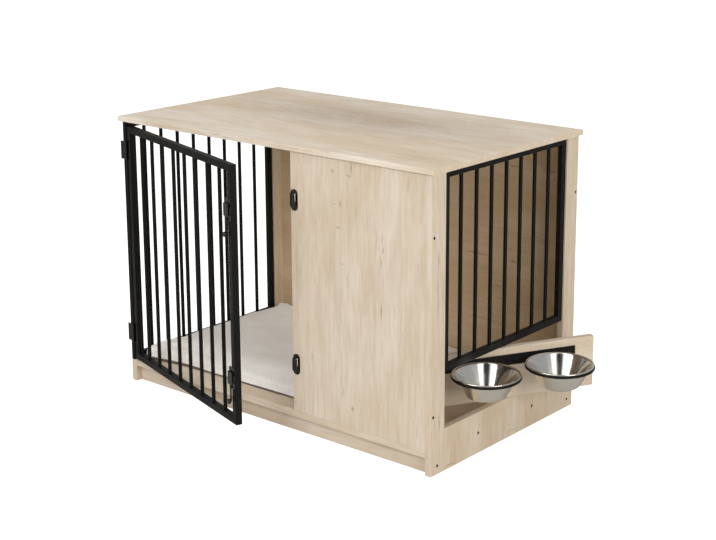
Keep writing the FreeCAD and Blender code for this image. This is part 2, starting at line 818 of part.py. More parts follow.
fastener_groups = [
    ("left_side_screws", board_screw, left_seats,
     ["left_side_panel", "bottom_panel", "front_kick_board", "rear_kick_board", "back_panel"]),
    ("right_side_screws", board_screw, right_seats,
     ["right_side_panel", "bottom_panel", "front_kick_board", "rear_kick_board", "back_panel",
      "front_panel"]),
    ("floor_screws", board_screw, floor_seats, ["bottom_panel", "front_panel", "back_panel"]),
    ("left_grille_screws", frame_screw, down_seats + across_seats,
     ["left_grille_bottom_rail", "left_grille_rear_stile", "left_side_panel"]),
    ("right_grille_screws", frame_screw, right_grille_seats,
     ["right_grille_front_stile", "right_grille_rear_stile", "right_side_panel"]),
    ("grille_top_screws", rail_screw, rail_seats,
     ["left_grille_top_rail", "right_grille_top_rail", "top_panel"]),
    ("hinge_fixed_screws", small_screw, fixed_leaf_seats,
     ["upper_hinge_fixed_leaf", "lower_hinge_fixed_leaf", "left_grille_front_stile"]),
    ("hinge_door_screws", small_screw, door_leaf_seats,
     ["upper_hinge_door_leaf", "lower_hinge_door_leaf", "door_hinge_stile"]),
    ("latch_screws", small_screw, latch_seats,
     ["upper_latch_housing", "lower_latch_housing", "door_latch_stile"]),
    ("keeper_screws", small_screw, keeper_seats, ["upper_keeper", "lower_keeper", "front_panel"]),
]
for name, kind, seats, drilled in fastener_groups:
    nodes[name], holes = screws(kind, seats)
    for node in drilled:
        nodes[node] = nodes[node].cut(holes)


# Cam fittings ------------------------------------------------------------------------------------

cam_level = under_top - cam_drop
cams = [(vector(x, board_thickness, cam_level), front, "front_panel") for x in front_floor]
cams += [(vector(x, back_face, cam_level), along_y, "back_panel") for x in back_floor]
cams += [
    (vector(inner_right, y, cam_level), right, "right_side_panel")
    for y in (cam_side_inset, body_depth - cam_side_inset)
]
cams.append((vector(inner_left, body_depth - cam_side_inset, cam_level), left, "left_side_panel"))


def cam_bolt(mouth, inward):
    """A bolt screwed up into the top, with its shank down to the middle of the cam."""
    centre = mouth.add(inward * board_middle)
    top = vector(centre.x, centre.y, under_top)
    shank = cylinder(cam_bolt_radius, vector(centre.x, centre.y, cam_level - cam_bolt_radius), top)
    return shank.fuse(cylinder(cam_thread_radius, top, top.add(up * cam_thread_length)))


bolts = []
discs = []
for mouth, inward, node in cams:
    bolt = cam_bolt(mouth, inward)
    disc = cylinder(cam_radius, mouth, mouth.add(inward * cam_depth))
    recess = placed(drive_recess(cam_drive), (mouth, inward * -1))
    bolts.append(bolt)
    discs.append(disc.cut([bolt, recess]))
    nodes[node] = nodes[node].cut([disc, bolt])
    nodes["top_panel"] = nodes["top_panel"].cut(bolt)
nodes["top_cam_bolts"] = group(bolts)
nodes["top_cam_discs"] = group(discs)


# Set the moving parts at their shown angles and write every piece ---------------------------------

door_nodes = [name for name in nodes if name.startswith("door_")] + [
    "upper_hinge_door_leaf", "lower_hinge_door_leaf", "hinge_door_screws", "latch_screws",
    "upper_latch_housing", "lower_latch_housing", "upper_latch_bolt", "lower_latch_bolt",
    "upper_latch_knob", "lower_latch_knob",
]
for name in door_nodes:
    nodes[name] = turned(nodes[name], pin_axis(0), -door_open_angle)
for name, shape in feeder_nodes.items():
    nodes[name] = turned(shape, pivot_axis(0), -feeder_open_angle)

origin = vector(body_width / 2, kick_setback + board_middle, 0)
os.makedirs("parts", exist_ok=True)
for name, shape in nodes.items():
    shape.translate(origin * -1)
    shape.exportStep("parts/" + name + ".step")
    print(name, "solids", len(shape.Solids), "valid", shape.isValid(), "volume", round(shape.Volume, 1))
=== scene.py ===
# %% [markdown]
# # A dog crate end table
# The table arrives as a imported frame: every board, tube, bar and screw is already at its real size and
# place. This script gives those pieces their finishes, and models the two things whose looks need more
# than flat solids: the stuffed fleece pad and the polished bowls. Everything is in metres. X runs to the
# right, Y from the front to the back and Z up. The origin is at the floor under the front kick board.

# %% Load the frame
import json
import math
import bpy
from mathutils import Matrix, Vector


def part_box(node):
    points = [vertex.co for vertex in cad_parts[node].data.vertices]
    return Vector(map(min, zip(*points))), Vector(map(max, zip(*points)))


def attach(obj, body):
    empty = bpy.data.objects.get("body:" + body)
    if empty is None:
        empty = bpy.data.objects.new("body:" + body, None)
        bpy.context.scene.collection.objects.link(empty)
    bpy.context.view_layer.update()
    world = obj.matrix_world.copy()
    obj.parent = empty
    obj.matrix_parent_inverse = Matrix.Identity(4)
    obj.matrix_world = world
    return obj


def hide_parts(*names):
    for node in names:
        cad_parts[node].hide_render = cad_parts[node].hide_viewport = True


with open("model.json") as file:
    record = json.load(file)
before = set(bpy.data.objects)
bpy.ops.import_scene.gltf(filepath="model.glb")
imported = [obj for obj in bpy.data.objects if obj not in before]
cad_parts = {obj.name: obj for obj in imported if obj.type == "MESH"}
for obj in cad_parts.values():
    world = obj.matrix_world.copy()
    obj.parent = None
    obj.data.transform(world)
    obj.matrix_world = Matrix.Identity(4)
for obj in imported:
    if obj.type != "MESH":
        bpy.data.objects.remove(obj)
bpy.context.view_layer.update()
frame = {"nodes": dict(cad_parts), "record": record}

nodes = frame["nodes"]
slot_of = {part["node"]: part["material_slot"] for part in frame["record"]["subparts"]}


def deselect():
    bpy.ops.object.select_all(action="DESELECT")


deselect()

# %% [markdown]
# ## Camera
# The picture was taken from the right of the front, a little above the table, with a long lens. A camera
# is a place, a direction and a lens. The place and the two turns below were found by matching the corners
# of the boards. A long lens keeps the uprights nearly parallel, and a small shift does the rest.

# %% Camera
image_width, image_height = 716, 540
focal_length_px = 1505.4
centre_px = (391.6, 190.0)
camera_place = (2.1803, -2.2666, 1.2612)
camera_turn_left = math.radians(39.216)
camera_tip_down = math.radians(13.169)

camera_data = bpy.data.cameras.new("camera")
camera_data.sensor_width = 36.0
camera_data.lens = camera_data.sensor_width * focal_length_px / image_width
camera_data.shift_x = (image_width / 2 - centre_px[0]) / image_width
camera_data.shift_y = (centre_px[1] - image_height / 2) / image_width
camera = bpy.data.objects.new("camera", camera_data)
camera.location = camera_place
camera.rotation_euler = (math.pi / 2 - camera_tip_down, 0, camera_turn_left)
bpy.context.scene.collection.objects.link(camera)
bpy.context.scene.camera = camera
print("camera: lens %.1f mm, shift %.3f, %.3f" % (camera_data.lens, camera_data.shift_x, camera_data.shift_y))

# %% [markdown]
# ## Floor and light
# This is a studio picture on white. A big soft light stands in front, higher than the table and a little
# left of its middle, so the front is the brightest side and hardly any shadow falls. A warmer one stands
# at the right, and a weak one hangs above the top. Standard colour keeps white paper white.

# %% Floor and light
floor_size = 30.0
bpy.ops.mesh.primitive_plane_add(size=floor_size, location=(0, 0, 0))
floor = bpy.context.object
floor.name = "studio_floor"
deselect()


table_middle = Vector((0.0, 0.24, 0.35))
light_size = 1.8
lights = (
    ("key", (-0.3, -3.1, 2.3), 56, (1.0, 0.985, 0.965)),
    ("side", (4.1, -0.9, 1.3), 63, (1.0, 0.93, 0.81)),
    ("top", (0.0, -0.3, 3.6), 14, (1.0, 0.96, 0.84)),
)


def soft_light(name, place, power, warmth):
    """A square area light at a place, turned to face the table's middle."""
    data = bpy.data.lights.new(name, "AREA")
    data.size = light_size
    data.energy = power
    data.color = warmth
    light = bpy.data.objects.new(name, data)
    light.location = place
    light.rotation_euler = (table_middle - Vector(place)).to_track_quat("-Z", "Y").to_euler()
    bpy.context.scene.collection.objects.link(light)


for row in lights:
    soft_light(*row)
bpy.context.scene.view_settings.view_transform = "Standard"
print("lights:", ", ".join(row[0] for row in lights))

# %% [markdown]
# ## Helpers for materials
# Each finish is a small network of nodes. The helpers keep the cells short: one makes a group with named
# sockets, one adds a node and fills or links its inputs, and the others are steps that many finishes share.

# %% Helpers for materials
white = (1.0, 1.0, 1.0, 1.0)
black = (0.0, 0.0, 0.0, 1.0)
origin = (0.0, 0.0, 0.0)


def node_group(name, inputs, outputs):
    """An empty shader group. Sockets are (name, kind, value) and (name, kind)."""
    tree = bpy.data.node_groups.new(name, "ShaderNodeTree")
    for socket_name, kind, value in inputs:
        socket = tree.interface.new_socket(
            name=socket_name, in_out="INPUT", socket_type="NodeSocket" + kind)
        socket.default_value = value
    for socket_name, kind in outputs:
        tree.interface.new_socket(
            name=socket_name, in_out="OUTPUT", socket_type="NodeSocket" + kind)
    return tree, tree.nodes.new("NodeGroupInput").outputs, tree.nodes.new("NodeGroupOutput").inputs


def add(tree, kind, inputs=(), **settings):
    """A shader node. An input is a value, or another node's output, which is then linked."""
    node = tree.nodes.new("ShaderNode" + kind)
    for name, value in settings.items():
        setattr(node, name, value)
    for key, value in dict(inputs).items():
        if isinstance(value, bpy.types.NodeSocket):
            tree.links.new(value, node.inputs[key])
        else:
            node.inputs[key].default_value = value
    return node


def math_node(tree, operation, first, second=0.0):
    return add(tree, "Math", {0: first, 1: second}, operation=operation).outputs[0]


def mix_colours(tree, amount, first, second):
    node = add(tree, "Mix", {0: amount, 6: first, 7: second}, data_type="RGBA")
    return node.outputs[2]


def remap(tree, value, low, high, to_low=0.0, to_high=1.0):
    """The part of the way from low to high, held between the two ends."""
    return add(tree, "MapRange", {0: value, 1: low, 2: high, 3: to_low, 4: to_high}).outputs[0]


def stretched_noise(tree, vector, stretch, detail=2.0, roughness=0.5):
    """Noise on a vector that is scaled differently along and across."""
    scaled = add(tree, "VectorMath", {0: vector, 1: stretch}, operation="MULTIPLY").outputs[0]
    return add(tree, "TexNoise", {"Vector": scaled, "Scale": 1.0, "Detail": detail,
                                  "Roughness": roughness}).outputs["Fac"]


def material(name):
    """A new material, its tree, its shader and its object coordinates."""
    made = bpy.data.materials.new(name)
    made.use_nodes = True
    tree = made.node_tree
    return made, tree, tree.nodes["Principled BSDF"], add(tree, "TexCoord").outputs["Object"]


def bump(tree, height, strength, distance, shader):
    made = add(tree, "Bump", {"Height": height, "Strength": strength, "Distance": distance})
    tree.links.new(made.outputs[0], shader.inputs["Normal"])


def colour(red, green, blue):
    """A shader colour from the three values that an image shows, 0 to 255."""
    linear = [((value / 255 + 0.055) / 1.055) ** 2.4 for value in (red, green, blue)]
    return (*linear, 1.0)


# %% [markdown]
# ## Surround and paper
# The camera sees plain white around the table. What the steel bowls see is a studio: a mid grey room with
# a dark gap between the two lights, which draws the dark bands in them. Two raised white screens flank the
# gap, for the bright bands. The paper on the floor is matt white with very faint clouds. To the camera it
# glows a little, as an overlit paper does.

# %% Surround and paper
room_grey = 0.4
gap_grey = 0.02
gap_azimuth = math.radians(-56)
gap_half_width = math.radians(13)
soft_edge = math.radians(3)
screen_half_width = math.radians(36)
screen_glow = 1.15
screen_low, screen_high = 0.25, 0.45
paper_glow = 0.9
paper_cloud_scale = 0.8

world = bpy.data.worlds.new("surround")
world.use_nodes = True
tree = world.node_tree
towards = add(tree, "SeparateXYZ", {0: add(tree, "TexCoord").outputs["Generated"]}).outputs
azimuth = math_node(tree, "ARCTAN2", towards[1], towards[0])
off_middle = math_node(tree, "ABSOLUTE", math_node(tree, "SUBTRACT", azimuth, gap_azimuth))
room = remap(tree, off_middle, gap_half_width, gap_half_width + soft_edge, gap_grey, room_grey)
beside_gap = remap(tree, off_middle, gap_half_width, gap_half_width + soft_edge)
on_screen = remap(tree, off_middle, screen_half_width + soft_edge, screen_half_width)
raised = remap(tree, towards[2], screen_low, screen_high, 0.0, screen_glow)
screens = math_node(tree, "MULTIPLY", math_node(tree, "MULTIPLY", beside_gap, on_screen), raised)
room = math_node(tree, "ADD", room, screens)
seen = add(tree, "LightPath").outputs["Is Camera Ray"]
strength = remap(tree, seen, 0.0, 1.0, room, 1.0)
tree.links.new(strength, tree.nodes["Background"].inputs["Strength"])
tree.nodes["Background"].inputs["Color"].default_value = white
bpy.context.scene.world = world

paper, tree, shader, place = material("studio_paper")
clouds = add(tree, "TexNoise", {"Vector": place, "Scale": paper_cloud_scale, "Detail": 2.0}).outputs["Fac"]
paper_tone = mix_colours(tree, clouds, colour(200, 197, 192), colour(206, 204, 200))
tree.links.new(paper_tone, shader.inputs["Base Color"])
shader.inputs["Roughness"].default_value = 0.9
shader.inputs["Specular IOR Level"].default_value = 0.1
shader.inputs["Emission Color"].default_value = white
seen = add(tree, "LightPath").outputs["Is Camera Ray"]
tree.links.new(math_node(tree, "MULTIPLY", seen, paper_glow), shader.inputs["Emission Strength"])
floor.data.materials.append(paper)
print("surround:", world.name, "and", paper.name)

# %% [markdown]
# ## Oak effect
# The boards are faced with a printed pale oak. Seen from a step away it is almost even: soft clouds of
# warmer and paler tint, faint fibres, and here and there a thin dark crack or a knot. Every layer is noise
# that is stretched along the grain. A second group makes one mark: a soft ellipse that noise bends a
# little, so a long thin one is a crack and a short one is a knot.

# %% Oak grain group
sway_stretch, sway_depth = (1.6, 6.0, 6.0), 0.04
cloud_stretch = (3.4, 10.0, 10.0)
fibre_stretch = (11.0, 150.0, 150.0)
patch_stretch = (5.0, 24.0, 24.0)
dash_stretch = (28.0, 420.0, 420.0)


def make_oak_grain():
    tree, given, made = node_group("oak_grain", [
        ("Vector", "Vector", origin), ("Pale", "Color", white), ("Warm", "Color", white),
        ("Streak", "Color", black), ("Figure", "Float", 0.5), ("Flecks", "Float", 0.5),
    ], [("Color", "Color"), ("Roughness", "Float"), ("Height", "Float")])
    vector = given["Vector"]
    sway = stretched_noise(tree, vector, sway_stretch, detail=3.0)
    sway = math_node(tree, "MULTIPLY", math_node(tree, "SUBTRACT", sway, 0.5), sway_depth)
    offset = add(tree, "CombineXYZ", {1: sway, 2: sway}).outputs[0]
    bent = add(tree, "VectorMath", {0: vector, 1: offset}, operation="ADD").outputs[0]
    clouds = stretched_noise(tree, bent, cloud_stretch, detail=5.0, roughness=0.62)
    broad = mix_colours(tree, remap(tree, clouds, 0.38, 0.62), given["Pale"], given["Warm"])
    fibres = stretched_noise(tree, bent, fibre_stretch, detail=3.0, roughness=0.6)
    fibre_amount = math_node(tree, "MULTIPLY", remap(tree, fibres, 0.4, 0.75), given["Figure"])
    fibred = mix_colours(tree, fibre_amount, broad, given["Streak"])
    patches = stretched_noise(tree, bent, patch_stretch, detail=2.0)
    dashes = stretched_noise(tree, bent, dash_stretch, detail=2.0)
    fleck = math_node(tree, "MULTIPLY", remap(tree, patches, 0.56, 0.68), remap(tree, dashes, 0.52, 0.66))
    flecked = mix_colours(tree, math_node(tree, "MULTIPLY", fleck, given["Flecks"]), fibred, given["Streak"])
    tree.links.new(flecked, made["Color"])
    tree.links.new(remap(tree, clouds, 0.3, 0.7, 0.5, 0.6), made["Roughness"])
    tree.links.new(math_node(tree, "SUBTRACT", 1.0, fleck), made["Height"])
    return tree


oak_grain = make_oak_grain()
print("group:", oak_grain.name)

# %% Mark group
wobble_scale, wobble_depth = 55.0, 0.008
speckle_scale = 260.0


def make_mark():
    tree, given, made = node_group("mark", [
        ("Vector", "Vector", origin), ("Centre", "Vector", origin), ("Size", "Vector", (1, 1, 1)),
        ("Strength", "Float", 0.5),
    ], [("Mask", "Float")])
    wobble = add(tree, "TexNoise", {"Vector": given["Vector"], "Scale": wobble_scale, "Detail": 3.0})
    shift = add(tree, "VectorMath", {0: wobble.outputs["Color"], 1: (0.5, 0.5, 0.5)}, operation="SUBTRACT")
    shift = add(tree, "VectorMath", {0: shift.outputs[0], "Scale": wobble_depth}, operation="SCALE")
    here = add(tree, "VectorMath", {0: given["Vector"], 1: shift.outputs[0]}, operation="ADD")
    here = add(tree, "VectorMath", {0: here.outputs[0], 1: given["Centre"]}, operation="SUBTRACT")
    here = add(tree, "VectorMath", {0: here.outputs[0], 1: given["Size"]}, operation="DIVIDE")
    reach = add(tree, "VectorMath", {0: here.outputs[0]}, operation="LENGTH").outputs["Value"]
    speckle = add(tree, "TexNoise", {"Vector": given["Vector"], "Scale": speckle_scale, "Detail": 2.0})
    speckled = remap(tree, speckle.outputs["Fac"], 0.3, 0.6, 0.5, 1.0)
    mask = math_node(tree, "MULTIPLY", remap(tree, reach, 1.0, 0.2), speckled)
    tree.links.new(math_node(tree, "MULTIPLY", mask, given["Strength"]), made["Mask"])
    return tree


mark_group = make_mark()
print("group:", mark_group.name)

# %% [markdown]
# Each board has its own material, because its grain has its own direction and its own start in the
# pattern. A turn brings the grain of that board onto the pattern's X. The marks are placed on the
# boards where they show, in metres from the table's origin: middle, half size and strength. The back
# panel's inner face is yellower in the picture, and the top is paler.

# %% Oak colours and marks
pale_oak = colour(230, 219, 204)
warm_oak = colour(218, 201, 179)
oak_streak = colour(190, 166, 138)
# Painted light: the back panel's inner face gets a yellower tint for the warm light bounced round inside the
# crate.
inner_painted_light_pale = colour(228, 206, 174)
inner_painted_light_warm = colour(216, 190, 154)
# Painted light: the top gets a paler, lit copy of the oak tint, brighter than the other boards.
top_painted_light_pale = colour(240, 230, 217)
top_painted_light_warm = colour(228, 211, 188)
mark_and_shade_brown = colour(112, 84, 62)
along_x = (0, 0, 0)
along_z = (0, math.pi / 2, 0)
feeder_angle = math.radians(29)
along_feeder = (0, 0, feeder_angle - math.pi / 2)
mark_depth = 0.02
grain_figure, grain_flecks = 0.4, 0.5


def board_marks(axis, level, rows):
    """Marks on the face at one level of an axis, from rows of two places, two half sizes and a strength."""
    made = []
    for first, second, wide, tall, strength in rows:
        centre, size = [first, second], [wide, tall]
        centre.insert(axis, level)
        size.insert(axis, mark_depth)
        made.append((centre, size, strength))
    return made


front_marks = board_marks(1, -0.0215, (
    (0.191, 0.600, 0.008, 0.004, 0.4), (0.2427, 0.615, 0.0035, 0.020, 0.5),
    (0.236, 0.596, 0.009, 0.0035, 0.4), (0.197, 0.531, 0.007, 0.003, 0.35),
    (0.212, 0.534, 0.003, 0.008, 0.7), (0.206, 0.483, 0.006, 0.0035, 0.5),
    (0.216, 0.407, 0.008, 0.003, 0.3), (0.3244, 0.478, 0.0018, 0.022, 0.5),
    (0.3258, 0.454, 0.0024, 0.010, 0.7), (0.3212, 0.428, 0.0018, 0.020, 0.6),
    (0.2325, 0.376, 0.0018, 0.034, 0.5), (0.3215, 0.325, 0.0020, 0.022, 0.8),
    (0.323, 0.250, 0.0018, 0.022, 0.3), (0.244, 0.097, 0.005, 0.007, 0.6),
    (0.4145, 0.089, 0.0020, 0.018, 0.45), (0.3897, 0.600, 0.0040, 0.025, 0.2),
    (0.1975, 0.181, 0.0025, 0.015, 0.25)))
side_marks = board_marks(0, 0.450, (
    (0.001, 0.449, 0.0026, 0.030, 0.6), (-0.001, 0.375, 0.0030, 0.060, 0.35),
    (0.005, 0.112, 0.0024, 0.022, 0.6), (0.042, 0.007, 0.0200, 0.003, 0.5),
    (0.260, 0.012, 0.0250, 0.0025, 0.3), (0.258, 0.0286, 0.012, 0.002, 0.3)))
back_marks = board_marks(1, 0.4885, (
    (0.188, 0.316, 0.045, 0.0022, 0.8), (0.292, 0.3133, 0.014, 0.0025, 0.8),
    (0.259, 0.2185, 0.020, 0.002, 0.6), (0.251, 0.247, 0.020, 0.004, 0.35),
    (0.389, 0.538, 0.022, 0.0022, 0.8), (0.292, 0.5376, 0.022, 0.0022, 0.6),
    (0.398, 0.523, 0.005, 0.007, 0.5), (0.060, 0.420, 0.070, 0.002, 0.5),
    (-0.150, 0.300, 0.090, 0.002, 0.5)))
top_marks_and_shade = board_marks(2, 0.640, (
    (0.210, 0.489, 0.070, 0.003, 0.35), (-0.120, 0.285, 0.050, 0.006, 0.3),
    (0.368, 0.037, 0.040, 0.002, 0.25), (0.120, 0.120, 0.120, 0.004, 0.15),
    # The last row is no crack or knot but a broad painted shade that darkens the middle of the top.
    (0.020, 0.300, 0.500, 0.170, 0.34)))
print("marks:", sum(map(len, (front_marks, side_marks, back_marks, top_marks_and_shade))))

# %% Oak boards
def oak_material(name, grain, start, marks=(), pale=pale_oak, warm=warm_oak):
    """Oak effect with the grain turned onto X by one rotation, begun at its own place in the pattern."""
    made, tree, shader, place = material(name)
    turned = add(tree, "Mapping", {"Vector": place, "Location": start, "Rotation": grain}).outputs[0]
    grain_node = add(tree, "Group", node_tree=oak_grain)
    for key, value in (("Pale", pale), ("Warm", warm), ("Streak", oak_streak),
                       ("Figure", grain_figure), ("Flecks", grain_flecks)):
        grain_node.inputs[key].default_value = value
    tree.links.new(turned, grain_node.inputs["Vector"])
    face = grain_node.outputs["Color"]
    for centre, size, strength in marks:
        mark = add(tree, "Group", node_tree=mark_group)
        tree.links.new(place, mark.inputs["Vector"])
        for key, value in (("Centre", centre), ("Size", size), ("Strength", strength)):
            mark.inputs[key].default_value = value
        face = mix_colours(tree, mark.outputs["Mask"], face, mark_and_shade_brown)
    tree.links.new(face, shader.inputs["Base Color"])
    tree.links.new(grain_node.outputs["Roughness"], shader.inputs["Roughness"])
    shader.inputs["Specular IOR Level"].default_value = 0.3
    bump(tree, grain_node.outputs["Height"], 0.1, 0.0003, shader)
    return made


boards = {
    "top_panel": (along_x, (0.3, 0.1, 0.0), top_marks_and_shade, top_painted_light_pale, top_painted_light_warm),
    "front_panel": (along_z, (0.0, 0.4, 0.2), front_marks),
    "back_panel": (along_x, (1.7, 0.0, 0.9), back_marks, inner_painted_light_pale, inner_painted_light_warm),
    "left_side_panel": (along_z, (2.9, 0.3, 0.0), ()),
    "right_side_panel": (along_z, (4.1, 0.7, 0.5), side_marks),
    "bottom_panel": (along_x, (5.3, 0.2, 0.1), ()),
    "front_kick_board": (along_x, (6.1, 0.0, 0.3), ()),
    "rear_kick_board": (along_x, (7.7, 0.0, 0.3), ()),
    "feeder_board": (along_feeder, (8.2, 0.4, 0.6), ()),
}


def finish_node(name, made):
    """Puts one material in every slot of a frame node."""
    for slot in nodes[name].material_slots:
        slot.material = made


for name, looks in boards.items():
    finish_node(name, oak_material("oak_" + name, *looks))
print("oak on", len(boards), "boards")

# %% [markdown]
# Only the inner face of the back panel gets the yellower tint, a painted light that stands in for the warm
# light inside the crate. Its outer face is as pale as the other boards, so the two tints are mixed by the
# place across the board's thickness.

# %% The back panel's two faces
back_oak = nodes["back_panel"].material_slots[0].material
tree = back_oak.node_tree
across_board = add(tree, "SeparateXYZ", {0: add(tree, "TexCoord").outputs["Object"]}).outputs[1]
outer_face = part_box("back_panel")[1][1]
face_skin = 0.002
outside = remap(tree, across_board, outer_face - face_skin, outer_face - face_skin / 2)
grain_node = next(node for node in tree.nodes if node.type == "GROUP" and node.node_tree == oak_grain)
for key, inner, outer in (("Pale", inner_painted_light_pale, pale_oak), ("Warm", inner_painted_light_warm, warm_oak)):
    tree.links.new(mix_colours(tree, outside, inner, outer), grain_node.inputs[key])
print("two tints on:", back_oak.name)

# %% [markdown]
# The floor board stands a little proud of the kick board under it. The picture shows a thin dark line of
# shadow in that corner, and so the kick board's upper edge gets one.

# %% The line under the floor board
line_height = 0.0022
line_strength = 0.75
kick_oak = nodes["front_kick_board"].material_slots[0].material
tree = kick_oak.node_tree
shader = tree.nodes["Principled BSDF"]
plain = shader.inputs["Base Color"].links[0].from_socket
kick_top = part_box("front_kick_board")[1][2]
level = add(tree, "SeparateXYZ", {0: add(tree, "TexCoord").outputs["Object"]}).outputs[2]
line = remap(tree, level, kick_top - line_height, kick_top - line_height / 2, 0.0, line_strength)
tree.links.new(mix_colours(tree, line, plain, mark_and_shade_brown), shader.inputs["Base Color"])
print("line on:", kick_oak.name)

# %% [markdown]
# ## Metal finishes
# The tubes and bars are powder coated: nearly black, with a low sheen and a faint orange-peel surface. The
# hinges, latches and their screws are a smoother black. The screws in the boards are dark bronze. The
# hidden fittings are dull zinc, and the bushes are pale nylon.

# %% Metal finishes
peel_scale = 900.0
fitting_black = colour(10, 10, 10)


def make_orange_peel():
    tree, given, made = node_group("orange_peel", [
        ("Vector", "Vector", origin), ("Scale", "Float", peel_scale), ("Low", "Float", 0.3),
        ("High", "Float", 0.5),
    ], [("Roughness", "Float"), ("Height", "Float")])
    ripple = add(tree, "TexNoise", {"Vector": given["Vector"], "Scale": given["Scale"], "Detail": 1.0})
    patches = add(tree, "TexNoise", {"Vector": given["Vector"], "Scale": 14.0, "Detail": 3.0})
    spread = remap(tree, patches.outputs["Fac"], 0.35, 0.65, given["Low"], given["High"])
    tree.links.new(spread, made["Roughness"])
    tree.links.new(ripple.outputs["Fac"], made["Height"])
    return tree


orange_peel = make_orange_peel()


def coated(name, tint, metallic, low, high, strength, gloss=0.5):
    """A finish with a tint, a roughness that drifts from low to high, and a fine ripple."""
    made, tree, shader, place = material(name)
    skin = add(tree, "Group", node_tree=orange_peel)
    tree.links.new(place, skin.inputs["Vector"])
    for key, value in (("Scale", peel_scale), ("Low", low), ("High", high)):
        skin.inputs[key].default_value = value
    shader.inputs["Base Color"].default_value = tint
    shader.inputs["Metallic"].default_value = metallic
    shader.inputs["Specular IOR Level"].default_value = gloss
    tree.links.new(skin.outputs["Roughness"], shader.inputs["Roughness"])
    bump(tree, skin.outputs["Height"], strength, 0.0002, shader)
    return made


def black_fitting(name):
    return coated(name, fitting_black, 0.0, 0.14, 0.22, 0.08, gloss=0.55)


finishes = {
    "black_steel": coated("black_powder_coat", colour(17, 17, 17), 0.0, 0.36, 0.5, 0.25, gloss=0.16),
    "black_fittings": black_fitting("black_fittings"),
    "dark_screws": coated("dark_bronze", colour(20, 17, 15), 0.3, 0.45, 0.6, 0.1, gloss=0.25),
    "zinc_fittings": coated("dull_zinc", colour(176, 176, 172), 1.0, 0.35, 0.5, 0.1),
    "nylon_bush": coated("nylon", colour(226, 223, 214), 0.0, 0.45, 0.55, 0.05),
}
for name, slot in slot_of.items():
    if slot in finishes:
        finish_node(name, finishes[slot])
print("finishes:", ", ".join(finishes))

# %% [markdown]
# Each keeper's raised loop gets a painted highlight: a small bright hook across its upper end and part of the
# way down its right side, where the loop's edges catch the light. Six ramps
# in X, Y and Z bound the hook, and their products make its mask.

# %% The keepers' painted highlight
loop_inset = 0.00275
loop_half_height = 0.014
highlight_down_to = -0.003
highlight_side_depth = (0.0048, 0.0066)
loop_foot_depth = (0.0012, 0.0016)
edge_blur = 0.0005
# The hook's pale tint is a painted highlight on the black fitting.
painted_highlight_tint = colour(214, 204, 188)


def paint_keeper_highlight(node):
    """The black fitting finish with a painted highlight: a bright hook on two edges of the keeper's loop."""
    made = black_fitting("highlit_" + node)
    tree = made.node_tree
    low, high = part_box(node)
    middle = (low[2] + high[2]) / 2
    right, top = high[0] - loop_inset, middle + loop_half_height
    place = add(tree, "SeparateXYZ", {0: add(tree, "TexCoord").outputs["Object"]}).outputs
    side = remap(tree, place[0], right - edge_blur, right)
    side = math_node(tree, "MULTIPLY", side, remap(tree, place[2], middle + highlight_down_to, middle))
    front, back = high[1] - highlight_side_depth[1], high[1] - highlight_side_depth[0]
    side = math_node(tree, "MULTIPLY", side, remap(tree, place[1], front, front + edge_blur))
    side = math_node(tree, "MULTIPLY", side, remap(tree, place[1], back + edge_blur, back))
    upper = remap(tree, place[2], top - edge_blur, top)
    upper = math_node(tree, "MULTIPLY", upper, remap(tree, place[0], right - loop_half_height / 2, right))
    on_loop = remap(tree, place[1], high[1] - loop_foot_depth[0], high[1] - loop_foot_depth[1])
    below_top = remap(tree, place[2], top + 2 * edge_blur, top + edge_blur)
    left_of_plate = remap(tree, place[0], right + 2 * edge_blur, right + edge_blur)
    highlight_mask = math_node(tree, "MAXIMUM", side, upper)
    for limit in (on_loop, below_top, left_of_plate):
        highlight_mask = math_node(tree, "MULTIPLY", highlight_mask, limit)
    tint = mix_colours(tree, highlight_mask, fitting_black, painted_highlight_tint)
    tree.links.new(tint, tree.nodes["Principled BSDF"].inputs["Base Color"])
    finish_node(node, made)


keepers = ("upper_keeper", "lower_keeper")
for node in keepers:
    paint_keeper_highlight(node)
print("painted highlights on:", ", ".join(keepers))

# %% [markdown]
# ## The bowls
# Each bowl is pressed from one steel sheet: a flat base, a round corner, a straight flared wall and a rim
# that is rolled outwards. It could be spun from a half section, but a disc that is pulled up ring by ring
# shows how the press works. The sheet drawn here is the inside face. Solidify then adds the wall behind it.

# %% The bowl's inside face
bowl_wall = 0.0009
bowl_segments = 96
corner_centre = (0.0328, 0.0360)
corner_radius = 0.0131
wall_angle = math.radians(61)
corner_turns = 5
bowl_steps = [(0.012, 0.0487), (0.024, 0.0490)]
for step in range(corner_turns + 1):
    angle = wall_angle * step / corner_turns
    bowl_steps.append((corner_centre[0] + corner_radius * math.sin(angle),
                       corner_centre[1] + corner_radius * math.cos(angle)))
bowl_steps += [(0.0518, 0.0288), (0.0594, 0.0151), (0.0655, 0.0041)]
rim_roll = [(0.0669, 0.0016), (0.0679, 0.0008), (0.0693, 0.0003), (0.0709, 0.0), (0.0720, 0.0005),
            (0.0725, 0.0016), (0.0720, 0.0027), (0.0709, 0.0032), (0.0701, 0.0029)]


def middle_of(node):
    """Centre of a node's box in X and Y, and the height of its top."""
    low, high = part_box(node)
    return (low[0] + high[0]) / 2, (low[1] + high[1]) / 2, high[2]


